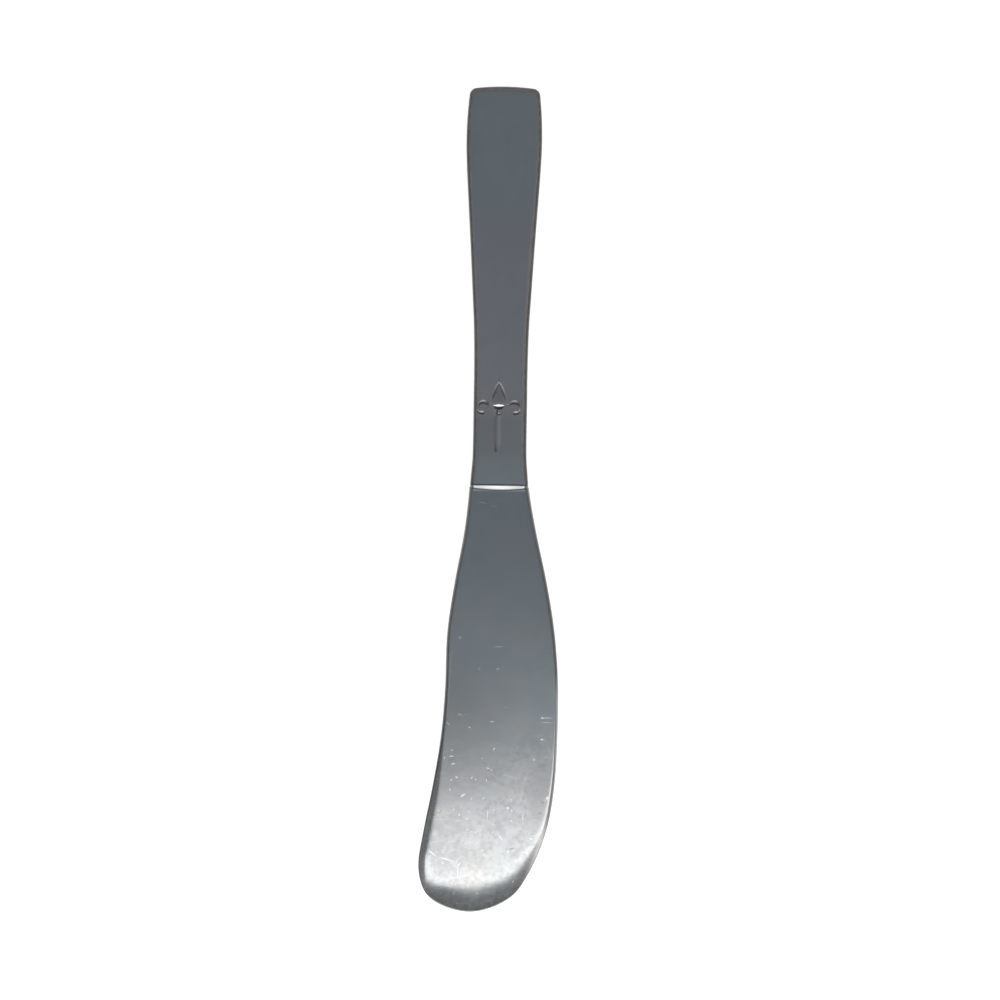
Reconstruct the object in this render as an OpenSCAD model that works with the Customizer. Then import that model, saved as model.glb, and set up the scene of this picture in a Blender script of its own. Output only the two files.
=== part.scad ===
// Butter knife with a hollow handle, lying face up on the flat back of its handle.
// The handle points along +Y and the blade along -Y. The origin is the middle of the
// handle's back, on the surface that the knife lies on.

/* [Handle] */
// Length of the handle, from its mouth to the end of its butt
handle_len = 79.2; // [65:0.1:100]
// Width of the handle at its widest place, near the butt
butt_w = 15.1; // [13:0.1:20]
// Width of the handle at its neck
neck_w = 10.7; // [9.8:0.1:11.2]
// Width of the handle at its mouth, where it meets the bolster
mouth_w = 11.6; // [11.2:0.1:13]
// Distance from the mouth over which the neck widens
flare_len = 8; // [6:0.5:12]
// Thickness of the handle across its two flat faces
handle_t = 5; // [4.6:0.1:7]
// Radius of the handle's rounded edges
edge_r = 1.2; // [1:0.05:1.7]
// How much larger the butt's corners are than the rounded edges, seen from above
corner_ease = 0.4; // [0.2:0.05:1]
// Radius of the bowed butt end, seen from above
bow_r = 50; // [30:1:120]
// Thickness of the sheet that the half shells are pressed from
wall = 0.6; // [0.45:0.05:0.8]

/* [Blade] */
// Length of the blade, from the bolster to the tip
blade_len = 84.5; // [65:0.5:110]
// Width of the blade at its widest place
blade_w = 24.6; // [20:0.1:32]
// Width of the blade where it leaves the bolster
heel_w = 11.9; // [11.2:0.1:14]
// How far the tip lies to the spine's side of the handle's middle line
tip_sweep = 4.7; // [2:0.1:7]
// Thickness of the blade where it leaves the bolster
heel_t = 3; // [2.4:0.1:3.4]
// Thickness of the blade close to its tip
tip_t = 1.2; // [1:0.05:1.6]
// Thickness left along the blade's rim
rim_t = 0.6; // [0.4:0.05:0.8]
// Width of the rounded strip along the spine and the belly
side_roll = 0.8; // [0.4:0.05:1.5]
// Width of the rounded zone at the tip
tip_roll = 9; // [5:0.5:10]
// How far the upper face falls away in the rounded zone at the tip
tip_fall = 0.9; // [0.6:0.05:1.3]
// Height of the blade's tip over the surface that the handle lies on
tip_lift = 0.05; // [0.02:0.01:0.5]

/* [Bolster and tang] */
// Length of the bolster's bevel, on the knife's middle line
bevel_len = 1; // [0.6:0.05:2]
// Length of the bolster's straight collar, next to the handle's mouth
collar_len = 0.3; // [0.2:0.05:0.6]
// Length of the spigot that seats in the handle's mouth
spigot_len = 2; // [1:0.1:4]
// Length of the tang, from the handle's mouth
tang_len = 46; // [30:1:55]
// Width of the tang at the spigot
tang_w = 6; // [4:0.1:7]
// Width of the tang at its end
tang_end_w = 4; // [3:0.1:6]
// Thickness of the tang
tang_t = 2; // [1.4:0.1:2.2]
// Depth of the notches that key the tang into the cement
notch_depth = 0.8; // [0.4:0.1:1]
// Length of each notch along the tang
notch_len = 2.5; // [1.5:0.1:4]
// Number of notches along each edge of the tang
notch_count = 3; // [1:1:4]

/* [Joining] */
// How far the cement reaches past the end of the tang
cement_past = 6; // [2:0.5:9]
// Width of the braze bead that runs inside the seam
bead_w = 0.5; // [0.3:0.05:0.6]
// Height of the braze bead, half on each shell
bead_h = 1.2; // [0.8:0.1:1.6]
// Clearance between the pieces inside the handle
joint_gap = 0.05; // [0.02:0.01:0.1]

/* [Ornament] */
// Distance from the handle's mouth to the crescent
ornament_at = 15.7; // [14:0.1:20]
// Depth of the pressed strokes
stroke_depth = 0.25; // [0.1:0.01:0.25]
// Width of the pressed strokes
stroke_w = 0.5; // [0.3:0.05:0.8]
// Length of the lancet, from the crescent to its point
lancet_len = 4.7; // [3:0.1:7]
// Width of the lancet at its foot
lancet_w = 2.8; // [2:0.1:4]
// Length of the fine line above the lancet's point
point_len = 1.8; // [1:0.1:3]
// Width of the crescent, from horn to horn
crescent_w = 2.3; // [1.6:0.1:3]
// Rise of the crescent's horns
crescent_rise = 0.3; // [0.1:0.05:0.6]
// Radius of the scrolls
scroll_r = 1.15; // [0.8:0.05:1.4]
// Distance of each scroll's middle from the handle's middle line
scroll_at = 3.2; // [2.8:0.05:3.6]
// Length of the stem below the crescent
stem_len = 8.4; // [5:0.1:11]
// Width of the stem's groove
stem_w = 1.2; // [0.8:0.05:1.6]
// Radius of the dimple at the head of the stem
dimple_r = 0.45; // [0.2:0.05:0.6]

/* [Hidden] */

// Half of the handle's thickness: the shells part at this height
half_t = handle_t / 2;
// Distance by which a cut runs past what it cuts, or a joined solid into its neighbour
overrun = 0.4;
// Least radius of an outline that is drawn far in
least_r = 0.05;
// Lean of the handle's sides where the butt's corners start
side_lean = 6;
// Steps in a span of an outline, a butt corner, the butt's bow, a rounded edge,
// the blade's rounded zone and a stroke
span_steps = 4;
corner_steps = 6;
bow_steps = 5;
edge_steps = 5;
roll_steps = 6;
stroke_steps = 12;

// Handle in plan: share of the side's length, share of the swell from neck to butt
swell_shares = [
    [0.20, 0], [0.30, 0], [0.40, 0.07], [0.50, 0.26], [0.60, 0.46], [0.70, 0.68],
    [0.80, 0.90], [0.87, 1], [0.94, 0.95], [1, 0.78]
];
// Neck's widening: share of the flare's length, share of the step from neck to mouth
flare_shares = [[0, 1], [0.25, 0.65], [0.6, 0.15], [1, 0]];
// Blade in plan: share of the length, shares of the spread beyond the heel for the spine
// and the belly, then for each of the two the share of the tip's rounded zone
blade_shares = [
    [0, 0, 0, 0, 0],
    [0.10, 0.07, 0.13, 0, 0],
    [0.22, 0.21, 0.31, 0, 0],
    [0.34, 0.315, 0.445, 0, 0],
    [0.46, 0.33, 0.508, 0, 0],
    [0.58, 0.385, 0.51, 0, 0],
    [0.70, 0.505, 0.472, 0, 0.03],
    [0.81, 0.643, 0.348, 0.02, 0.14],
    [0.90, 0.713, 0.106, 0.10, 0.42],
    [0.965, 0.545, -0.20, 0.52, 0.80]
];
// Share of the blade's length that lies level before it starts to dip
level_share = 0.1;
// How sharply the dip grows towards the tip
dip_power = 2.2;
// Share of the bevel that the bolster's nose loses at each side
nose_share = 0.45;
// Share of the way from the rounded zone to the middle line at which a ring is added
mid_share = 0.5;
// How far the blade's middle line stops short of the tip, as a share of the rounded zone
stop_share = 1.2;
// Share of the middle line over which it is eased to that stop
ease_share = 0.25;
// Share of the rim's thickness by which the heel's face is sunk under the blade's faces
sink_share = 0.25;
// Radius of the bolster's nose as a share of its thickness
nose_round_share = 0.33;

function lerp(a, b, s) = a + (b - a) * s;

// Point between b and c on a smooth curve through a, b, c and d
function spline_point(a, b, c, d, s) =
    let (
        t1 = sqrt(norm(b - a)),
        t2 = t1 + sqrt(norm(c - b)),
        t3 = t2 + sqrt(norm(d - c)),
        t = lerp(t1, t2, s),
        ab = lerp(a, b, t / t1),
        bc = lerp(b, c, (t - t1) / (t2 - t1)),
        cd = lerp(c, d, (t - t2) / (t3 - t2)),
        abc = lerp(ab, bc, t / t2),
        bcd = lerp(bc, cd, (t - t1) / (t3 - t1))
    )
    lerp(abc, bcd, (t - t1) / (t2 - t1));

// Smooth curve through all the knots, with span_steps points in each span
function curve(knots) =
    let (
        last = len(knots) - 1,
        before = 2 * knots[0] - knots[1],
        after = 2 * knots[last] - knots[last - 1]
    )
    [
        for (i = [0 : last - 1], s = [0 : span_steps - 1])
            spline_point(
                i == 0 ? before : knots[i - 1], knots[i],
                knots[i + 1], i == last - 1 ? after : knots[i + 2], s / span_steps
            ),
        knots[last]
    ];

// Right-hand side of the handle in plan, from the mouth to the middle of the butt,
// drawn in by an inset
function handle_side(inset) =
    let (
        swell = (butt_w - neck_w) / 2,
        r = max(edge_r + corner_ease - inset, least_r),
        bow = bow_r - inset,
        end = handle_len - inset,
        neck_x = neck_w / 2 - inset,
        shoulder_x = neck_x + swell * swell_shares[len(swell_shares) - 1][1],
        corner_x = shoulder_x - r * cos(side_lean),
        tilt = asin(corner_x / (bow - r)),
        corner_y = end - bow + (bow - r) * cos(tilt),
        side_len = corner_y + r * sin(side_lean),
        flare_knots = [
            for (k = flare_shares) [neck_x + k[1] * (mouth_w - neck_w) / 2, k[0] * flare_len]
        ],
        swell_knots = [for (k = swell_shares) [neck_x + k[1] * swell, k[0] * side_len]]
    )
    concat(
        curve(concat(flare_knots, swell_knots)),
        [
            for (i = [1 : corner_steps])
                let (a = lerp(side_lean, 90 - tilt, i / corner_steps))
                [corner_x + r * cos(a), corner_y + r * sin(a)]
        ],
        [
            for (i = [1 : bow_steps])
                let (a = tilt * (1 - i / bow_steps))
                [bow * sin(a), end - bow * (1 - cos(a))]
        ]
    );

// Whole outline of the handle, drawn in by an inset and started a lead before the mouth
function handle_ring(inset, lead = 0) =
    let (
        side = handle_side(inset),
        right = lead > 0 ? concat([[side[0][0], -lead]], side) : side,
        last = len(right) - 1
    )
    concat(right, [for (i = [last - 1 : -1 : 0]) [-right[i][0], right[i][1]]]);

// Layers of [inset, height] that round the edge of a face at the given height
function face_layers(inset, top, r) = [
    for (i = [0 : edge_steps])
        let (a = 90 * i / edge_steps)
        [inset + r * (1 - cos(a)), top - r * (1 - sin(a))]
];

// Closed solid with the handle's outline, from its lowest layer to its highest
module slab(layers, lead = 0) {
    rings = [
        for (layer = layers)
            [for (p = handle_ring(layer[0], lead)) [p[0], p[1], layer[1]]]
    ];
    n = len(rings[0]);
    m = len(rings);
    top = (m - 1) * n;
    middle = (n - 1) / 2;
    sides = [
        for (j = [0 : m - 2], i = [0 : n - 2])
            [j * n + i, (j + 1) * n + i, (j + 1) * n + i + 1, j * n + i + 1]
    ];
    floor_face = [for (i = [0 : middle - 2]) [i, i + 1, n - 2 - i, n - 1 - i]];
    top_face = [
        for (i = [0 : middle - 2])
            [top + n - 1 - i, top + n - 2 - i, top + i + 1, top + i]
    ];
    butt_floor = [middle - 1, middle, middle + 1];
    butt_top = [top + middle + 1, top + middle, top + middle - 1];
    mouth = concat(
        [for (j = [0 : m - 1]) j * n + n - 1],
        [for (j = [m - 1 : -1 : 0]) j * n]
    );
    polyhedron(
        points = [for (ring = rings) each ring],
        faces = concat(sides, floor_face, top_face, [butt_floor, butt_top, mouth])
    );
}

// Closed solid with the handle's outline that is rounded at both of its faces
module full_slab(inset, top, r) {
    upper = face_layers(inset, top, r);
    lower = [for (i = [edge_steps : -1 : 0]) [upper[i][0], -upper[i][1]]];
    slab(concat(lower, upper));
}

// Cross-section with rounded corners, set back along the knife at its sides by a bow
function section_at(y, w, t, r, bow = 0) = [
    for (quarter = [[1, 1, 0], [-1, 1, 90], [-1, -1, 180], [1, -1, 270]])
        for (i = [0 : edge_steps])
            let (
                a = quarter[2] + 90 * i / edge_steps,
                x = quarter[0] * (w / 2 - r) + r * cos(a)
            )
            [x, y + bow * pow(2 * x / w, 2), quarter[1] * (t / 2 - r) + r * sin(a)]
];

// Closed solid through cross-sections that follow each other towards the butt
module loft(sections) {
    n = len(sections[0]);
    m = len(sections);
    polyhedron(
        points = [for (section = sections) each section],
        faces = concat(
            [
                for (j = [0 : m - 2], i = [0 : n - 1])
                    [j * n + i, j * n + (i + 1) % n, (j + 1) * n + (i + 1) % n, (j + 1) * n + i]
            ],
            [[for (i = [n - 1 : -1 : 0]) i], [for (i = [0 : n - 1]) (m - 1) * n + i]]
        )
    );
}

// Cutter for a groove of V section that follows a path on a face at height zero
module groove(path, shares, width, depth) {
    last = len(path) - 1;
    points = [
        for (i = [0 : last])
            let (
                ahead = path[min(i + 1, last)] - path[max(i - 1, 0)],
                across = [-ahead[1], ahead[0]] / norm(ahead),
                reach = width / 2 * (shares[i] + overrun / depth)
            )
            each [
                concat(path[i] + across * reach, overrun),
                concat(path[i] - across * reach, overrun),
                concat(path[i], -depth * shares[i])
            ]
    ];
    sides = [
        for (i = [0 : last - 1], k = [0 : 2])
            [3 * i + k, 3 * i + 3 + k, 3 * i + 3 + (k + 1) % 3, 3 * i + (k + 1) % 3]
    ];
    polyhedron(
        points = points,
        faces = concat([[0, 1, 2], [3 * last + 2, 3 * last + 1, 3 * last]], sides)
    );
}

// Cutters for the strokes pressed into a face at the neck
module ornament() {
    foot_share = 0.22;
    belly_share = 0.36;
    head_share = 0.2;
    scroll_from = 40;
    scroll_turn = 250;
    scroll_close_share = 0.35;
    scroll_drop_share = 0.4;
    scroll_end_share = 0.4;
    dimple_share = 0.35;
    fine_share = 0.5;
    bold_share = 1.5;
    petal_shares = [0.3, 0.8, 1, 0.8, 0.4];
    fine_shares = [0.9, 0.6, 0.2];
    crescent_shares = [0.25, 0.75, 1, 0.75, 0.25];
    stem_shares = [0.5, 1, 1, 0.9, 0.2];
    for (side = [-1, 1]) {
        // Side of the lancet, from its foot to its point
        groove(
            [
                for (s = [0 : 0.25 : 1])
                    [
                        side * lancet_w / 2 * (1 - s) * (1 + belly_share * s),
                        ornament_at + lancet_len * lerp(foot_share, 1, s)
                    ]
            ],
            petal_shares, stroke_w, stroke_depth
        );
        // Scroll that leaves the crescent, rolls outwards and closes below
        groove(
            [
                for (i = [0 : stroke_steps])
                    let (
                        s = i / stroke_steps,
                        a = scroll_from + scroll_turn * s,
                        r = scroll_r * (1 - scroll_close_share * s)
                    )
                    [
                        side * (scroll_at - r * cos(a)),
                        ornament_at - scroll_r * scroll_drop_share + r * sin(a)
                    ]
            ],
            [
                for (i = [0 : stroke_steps])
                    lerp(scroll_end_share, 1, sin(180 * i / stroke_steps))
            ],
            stroke_w, stroke_depth
        );
    }
    // Fine line above the lancet's point
    groove(
        [for (s = [0 : 0.5 : 1]) [0, ornament_at + lancet_len + point_len * s]],
        fine_shares, stroke_w * fine_share, stroke_depth * fine_share
    );
    // Crescent that cups the lancet's foot
    groove(
        [
            for (u = [-1 : 0.5 : 1])
                [u * crescent_w / 2, ornament_at + crescent_rise * u * u]
        ],
        crescent_shares, stroke_w * bold_share, stroke_depth * bold_share
    );
    // Stem, with a dimple at its head
    groove(
        [
            for (s = [0 : 0.25 : 1])
                [0, ornament_at - stroke_w * bold_share - stem_len * s]
        ],
        stem_shares, stem_w, stroke_depth
    );
    translate([0, ornament_at - stem_len * head_share, dimple_r * dimple_share])
        sphere(dimple_r, $fn = 2 * stroke_steps);
}

// Half of the hollow handle, with its face up and its seam at height zero
module half_shell() {
    difference() {
        slab(concat([[0, 0]], face_layers(0, half_t, edge_r)));
        slab(
            concat([[wall, -overrun]], face_layers(wall, half_t - wall, edge_r - wall)),
            overrun
        );
        translate([0, 0, half_t]) ornament();
    }
}

// Outline of the blade as [x, distance from the heel, share of the tip's rounded zone],
// from the spine's side of the heel round the tip to the belly's side
function blade_outline() =
    let (
        last = len(blade_shares) - 1,
        spread = blade_w - heel_w,
        root_x = mouth_w / 2 - overrun,
        spine = [
            for (k = blade_shares) [-heel_w / 2 - k[1] * spread, k[0] * blade_len, k[3]]
        ],
        belly = [
            for (i = [last : -1 : 0])
                let (k = blade_shares[i])
                [heel_w / 2 + k[2] * spread, k[0] * blade_len, k[4]]
        ]
    )
    concat(
        [[-root_x, -bevel_len, 0]],
        curve(concat(spine, [[-tip_sweep, blade_len, 1]], belly)),
        [[root_x, -bevel_len, 0]]
    );

// Thickness of the blade at a distance from the heel
function blade_t(d) = lerp(heel_t, tip_t, max(d, 0) / blade_len);

// Height of the blade's middle at a distance from the heel, counted from the seam
function blade_z(d) =
    let (
        tip_hang = min(tip_t - tip_fall - rim_t, 0),
        dip = half_t - tip_lift - tip_t / 2 + tip_hang,
        s = max(d / blade_len - level_share, 0) / (1 - level_share)
    )
    -dip * pow(s, dip_power);

// Point at a share of the way in from the rim through the rounded zone, on the upper
// face where side is 1 and on the lower face where side is -1
function blade_point(x, d, zone_share, s, side) =
    let (
        t = blade_t(d),
        fall = lerp((t - rim_t) / 2, tip_fall, zone_share),
        rise = t - rim_t - fall,
        drop = (side > 0 ? fall : rise) * pow(1 - s, 2)
    )
    [x, -d, blade_z(d) + side * (t / 2 - drop)];

// Blade, with its heel face sunk into the bolster
module blade_body() {
    outline = blade_outline();
    n = len(outline);
    half = (n - 1) / 2;
    reach = blade_len - stop_share * tip_roll;
    middle = [
        for (i = [0 : half])
            let (
                pair = (outline[i] + outline[n - 1 - i]) / 2,
                to_go = 1 + ease_share - pair[1] / reach
            )
            [
                pair[0],
                to_go > 2 * ease_share ? pair[1] : reach * (1 - pow(to_go, 2) / (4 * ease_share))
            ]
    ];
    // Rings from the rim inwards: the rounded zone's, and one on the flat
    rings = roll_steps + 2;
    faces_points = [
        for (side = [1, -1])
            each concat(
                [
                    for (j = [0 : rings - 1], i = [0 : n - 1])
                        let (
                            p = outline[i],
                            rim = [p[0], p[1]],
                            aim = middle[min(i, n - 1 - i)],
                            share = max(min(p[2], 1), 0),
                            zone = lerp(side_roll, tip_roll, share) / norm(aim - rim),
                            s = min(j / roll_steps, 1),
                            q = lerp(rim, aim, j > roll_steps ? lerp(zone, 1, mid_share) : zone * s)
                        )
                        blade_point(q[0], q[1], share, s, side)
                ],
                [for (q = middle) blade_point(q[0], q[1], 0, 1, side)]
            )
    ];
    face_size = rings * n + half + 1;
    function at(face, j, i) =
        face * face_size + (j < rings ? j * n + i : rings * n + min(i, n - 1 - i));
    polyhedron(
        points = faces_points,
        faces = concat(
            [
                for (j = [0 : rings - 1], i = [0 : n - 2])
                    [at(0, j, i), at(0, j + 1, i), at(0, j + 1, i + 1), at(0, j, i + 1)]
            ],
            [
                for (j = [0 : rings - 1], i = [0 : n - 2])
                    [at(1, j, i), at(1, j, i + 1), at(1, j + 1, i + 1), at(1, j + 1, i)]
            ],
            [for (i = [0 : n - 2]) [at(1, 0, i), at(0, 0, i), at(0, 0, i + 1), at(1, 0, i + 1)]],
            [
                concat(
                    [for (j = [0 : rings]) at(1, j, 0)],
                    [for (j = [rings - 1 : -1 : 0]) at(1, j, n - 1)],
                    [for (j = [0 : rings]) at(0, j, n - 1)],
                    [for (j = [rings - 1 : -1 : 0]) at(0, j, 0)]
                )
            ]
        )
    );
}

// Bolster: its nose grows out of the blade's heel and ends in the collar at the mouth
module bolster() {
    nose_w = heel_w - rim_t * sink_share;
    nose_t = heel_t - rim_t * sink_share;
    loft([
        section_at(
            -collar_len - bevel_len, nose_w, nose_t, nose_t * nose_round_share,
            bevel_len * nose_share
        ),
        section_at(-collar_len, mouth_w, handle_t, edge_r),
        section_at(0, mouth_w, handle_t, edge_r)
    ]);
}

// Spigot that fills the handle's mouth with the joint's clearance all round
module spigot() {
    side = handle_side(wall + joint_gap);
    w = 2 * lookup(spigot_len, [for (p = side) [p[1], p[0]]]);
    t = handle_t - 2 * (wall + joint_gap);
    loft([
        section_at(-collar_len / 2, w, t, edge_r - wall),
        section_at(spigot_len, w, t, edge_r - wall)
    ]);
}

// Tang with its notched edges, or the room that it takes up once it is grown all round
module tang(grow = 0) {
    from = spigot_len / 2;
    pitch = (tang_len - spigot_len) / (notch_count + 1);
    difference() {
        linear_extrude(tang_t + 2 * grow, center = true)
            polygon([
                [-tang_w / 2 - grow, from], [tang_w / 2 + grow, from],
                [tang_end_w / 2 + grow, tang_len + grow],
                [-tang_end_w / 2 - grow, tang_len + grow]
            ]);
        for (side = [-1, 1], i = [1 : notch_count]) {
            y = spigot_len + i * pitch;
            edge_x = lerp(tang_w, tang_end_w, (y - from) / (tang_len - from)) / 2;
            translate([side * (edge_x - notch_depth + grow + tang_w / 2), y, 0])
                cube([tang_w, notch_len - 2 * grow, tang_t + 2 * grow + overrun], center = true);
        }
    }
}

// Block as long as the handle that ends at a place along it
module cut_before(y) {
    translate([-butt_w, y - handle_len, -handle_t])
        cube([2 * butt_w, handle_len, 2 * handle_t]);
}

// Block as long as the handle that starts at a place along it
module cut_after(y) {
    translate([0, handle_len, 0]) cut_before(y);
}

// Room inside the seam for the braze bead, from the shells' walls inwards
module seam_room(outer_inset, inner_inset, height) {
    difference() {
        linear_extrude(height, center = true) polygon(handle_ring(outer_inset, overrun));
        linear_extrude(height + overrun, center = true)
            polygon(handle_ring(inner_inset, 2 * overrun));
    }
}

module at_mouth() {
    translate([0, -handle_len / 2, half_t]) children();
}

module blade() {
    color("silver") at_mouth() {
        translate([0, -collar_len - bevel_len, 0]) blade_body();
        bolster();
        spigot();
        tang();
    }
}

module front_shell() {
    color("slategray") at_mouth() half_shell();
}

module back_shell() {
    color("dimgray") at_mouth() mirror([0, 0, 1]) half_shell();
}

module seam_braze() {
    color("goldenrod") at_mouth() difference() {
        seam_room(wall + joint_gap, wall + joint_gap + bead_w, bead_h);
        cut_before(spigot_len + joint_gap);
    }
}

module tang_cement() {
    color("saddlebrown") at_mouth() difference() {
        full_slab(wall + joint_gap, half_t - wall - joint_gap, edge_r - wall);
        cut_before(spigot_len + joint_gap);
        cut_after(tang_len + cement_past);
        tang(joint_gap);
        seam_room(wall - overrun, wall + 2 * joint_gap + bead_w, bead_h + 2 * joint_gap);
    }
}

blade();
front_shell();
back_shell();
seam_braze();
tang_cement();
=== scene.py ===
"""Dresses the packed butter knife: a smooth forged blade and two pressed handle shells in
worn satin steel, lying on a pale studio floor. Lengths are in metres, in the frame's axes:
the handle points along +Y, the blade along -Y, and the knife lies on the plane z = 0."""

import math
from functools import partialmethod

import bmesh
import bpy
from bpy.props import FloatProperty, FloatVectorProperty, IntProperty, PointerProperty
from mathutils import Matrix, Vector


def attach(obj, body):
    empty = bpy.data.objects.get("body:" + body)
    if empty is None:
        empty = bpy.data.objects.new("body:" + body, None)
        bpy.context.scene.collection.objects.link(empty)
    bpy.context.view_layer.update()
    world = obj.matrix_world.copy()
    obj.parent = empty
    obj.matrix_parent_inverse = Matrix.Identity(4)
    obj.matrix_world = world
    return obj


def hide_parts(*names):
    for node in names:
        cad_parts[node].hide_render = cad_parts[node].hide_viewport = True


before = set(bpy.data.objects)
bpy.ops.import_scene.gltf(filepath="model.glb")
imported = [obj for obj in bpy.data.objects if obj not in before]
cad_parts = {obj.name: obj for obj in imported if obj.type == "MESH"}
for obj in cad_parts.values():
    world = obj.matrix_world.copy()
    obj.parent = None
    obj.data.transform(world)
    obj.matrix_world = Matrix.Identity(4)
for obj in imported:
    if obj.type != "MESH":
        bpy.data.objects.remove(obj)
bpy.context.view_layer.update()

bl_info = {
    "name": "Butter Knife",
    "version": (1, 0, 0),
    "blender": (4, 5, 0),
    "location": "View3D > Sidebar > Butter Knife",
    "description": "Models a butter knife with a forged blade and a pressed hollow handle",
    "category": "Object",
}

MM = 0.001
BODY = "root"
NEAR = MM / 200  # Points closer than this to a line count as on it
MERGE = MM / 1000  # Points closer than this are merged
SMOOTH_ANGLE = math.radians(30)  # Edges sharper than this stay sharp

# Handle in plan: share of the side's length, share of the swell from neck to butt
SWELL_SHARES = (
    (0.20, 0), (0.30, 0), (0.40, 0.07), (0.50, 0.26), (0.60, 0.46), (0.70, 0.68),
    (0.80, 0.90), (0.87, 1), (0.94, 0.95), (1, 0.78),
)
# Neck's widening: share of the flare's length, share of the step from neck to mouth
FLARE_SHARES = ((0, 1), (0.25, 0.65), (0.6, 0.15), (1, 0))
# Blade in plan: share of the length, shares of the spread beyond the heel for the spine
# and the belly, then for each of the two the share of the tip's rounded zone
BLADE_SHARES = (
    (0, 0, 0, 0, 0),
    (0.10, 0.07, 0.13, 0, 0),
    (0.22, 0.21, 0.31, 0, 0),
    (0.34, 0.315, 0.445, 0, 0),
    (0.46, 0.33, 0.508, 0, 0),
    (0.58, 0.385, 0.51, 0, 0),
    (0.70, 0.505, 0.472, 0.10, 0.02),
    (0.81, 0.643, 0.348, 0.18, 0.11),
    (0.90, 0.713, 0.106, 0.26, 0.40),
    (0.965, 0.545, -0.20, 0.55, 0.80),
)


def length(name, description, millimetres, lowest=0):
    """A length that the user can change, given in millimetres and kept in metres."""
    return FloatProperty(
        name=name, description=description, default=millimetres * MM,
        min=lowest * MM, precision=5, subtype="DISTANCE", unit="LENGTH",
    )


def share(name, description, default):
    """A plain number that the user can change."""
    return FloatProperty(name=name, description=description, default=default, min=0)


def tint(name, description, default):
    """A colour that the user can change."""
    return FloatVectorProperty(
        name=name, description=description, default=default, size=3, min=0, max=1,
        subtype="COLOR",
    )


class KnifeHandleSizes(bpy.types.PropertyGroup):
    """Sizes of the hollow handle."""

    long: length("Length", "From the mouth to the end of the butt", 79.2)
    butt_width: length("Butt width", "Width at the widest place", 15.1)
    neck_width: length("Neck width", "Width at the neck", 10.7)
    mouth_width: length("Mouth width", "Width where the handle meets the bolster", 11.6)
    flare: length("Flare", "Distance from the mouth over which the neck widens", 8)
    thick: length("Thickness", "Across the two flat faces", 5)
    edge: length("Edge radius", "Radius of the rounded edges", 1.2)
    corner: length("Corner radius", "Radius of the butt's corners, seen from above", 1.6)
    bow: length("Bow radius", "Radius of the bowed butt end, seen from above", 50)
    wall: length("Wall", "Thickness of the sheet that the shells are pressed from", 0.6)
    edge_steps: IntProperty(
        name="Edge steps", description="Faces across a rounded edge", default=8, min=2
    )


class KnifeBladeSizes(bpy.types.PropertyGroup):
    """Sizes of the forged blade, its bolster and its tang."""

    long: length("Length", "From the bolster to the tip", 84.5)
    wide: length("Width", "Width at the widest place", 24.6)
    heel_width: length("Heel width", "Width where the blade leaves the bolster", 11.9)
    sweep: length("Tip sweep", "Distance of the tip from the handle's middle line", 4.7)
    heel_thick: length("Heel thickness", "Where the blade leaves the bolster", 3)
    tip_thick: length("Tip thickness", "Close to the tip", 1.2)
    rim: length("Rim", "Thickness left along the rim", 0.6)
    rim_round: length("Rim rounding", "Radius to which the rim is polished", 0.25)
    side_roll: length("Side roll", "Width of the rounded strip along the sides", 0.8)
    tip_roll: length("Tip roll", "Width of the rounded zone at the tip", 9)
    tip_fall: length("Tip fall", "How far the face falls in the tip's rounded zone", 0.9)
    tip_lift: length("Tip lift", "Height of the tip over the floor", 0.05)
    bevel: length("Bevel", "Length of the bolster's bevel on the middle line", 0.82)
    bevel_bow: length("Bevel bow", "How much shorter the bevel is at the sides", 0.45)
    collar: length("Collar", "Length of the bolster's straight collar", 0.3)
    chamfer: length("Chamfer", "Chamfer of the collar next to the handle's mouth", 0.14)
    spigot: length("Spigot", "Length that seats in the handle's mouth", 2)
    joint_gap: length("Joint gap", "Clearance between the pieces inside the handle", 0.05)
    tang: length("Tang", "Length of the tang from the handle's mouth", 46)
    tang_width: length("Tang width", "Width of the tang at the spigot", 5.9)
    tang_end: length("Tang end width", "Width of the tang at its end", 3.9)
    tang_thick: length("Tang thickness", "Thickness of the tang", 1.95)
    notch_deep: length("Notch depth", "Depth of the notches in the tang's edges", 0.8)
    notch_long: length("Notch length", "Length of each notch along the tang", 2.5)
    notches: IntProperty(
        name="Notches", description="Number of notches along each edge", default=3, min=1
    )


class KnifeMotifSizes(bpy.types.PropertyGroup):
    """Sizes of the small motif pressed into the neck."""

    at: length("Place", "Distance from the handle's mouth to the crescent", 15.6)
    aside: length("Aside", "How far the die sat to the spine's side of the middle", 0.3)
    deep: length("Stroke depth", "Depth of the strokes", 0.26)
    wide: length("Stroke width", "Width of the strokes", 0.5)
    lancet: length("Lancet length", "From the crescent to the lancet's point", 4.7)
    lancet_width: length("Lancet width", "Width of the lancet at its foot", 2.8)
    point: length("Point length", "Length of the fine line above the lancet", 1.8)
    crescent: length("Crescent width", "From horn to horn", 2.3)
    crescent_rise: length("Crescent rise", "Rise of the crescent's horns", 0.3)
    sag: length("Sag", "How far the crescent hangs under the scrolls' roots", 0.25)
    scroll: length("Scroll radius", "Radius of the scrolls", 1.35)
    scroll_at: length("Scroll place", "Distance of a scroll from the middle line", 3.2)
    stem: length("Stem length", "Length of the stem below the crescent", 8.4)
    stem_width: length("Stem width", "Width of the stem's groove", 1.7)
    stem_aside: length("Stem aside", "How far the stem lies to the spine's side", 0.25)
    dimple: length("Dimple radius", "Radius of the dimple at the stem's head", 0.45)


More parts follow.
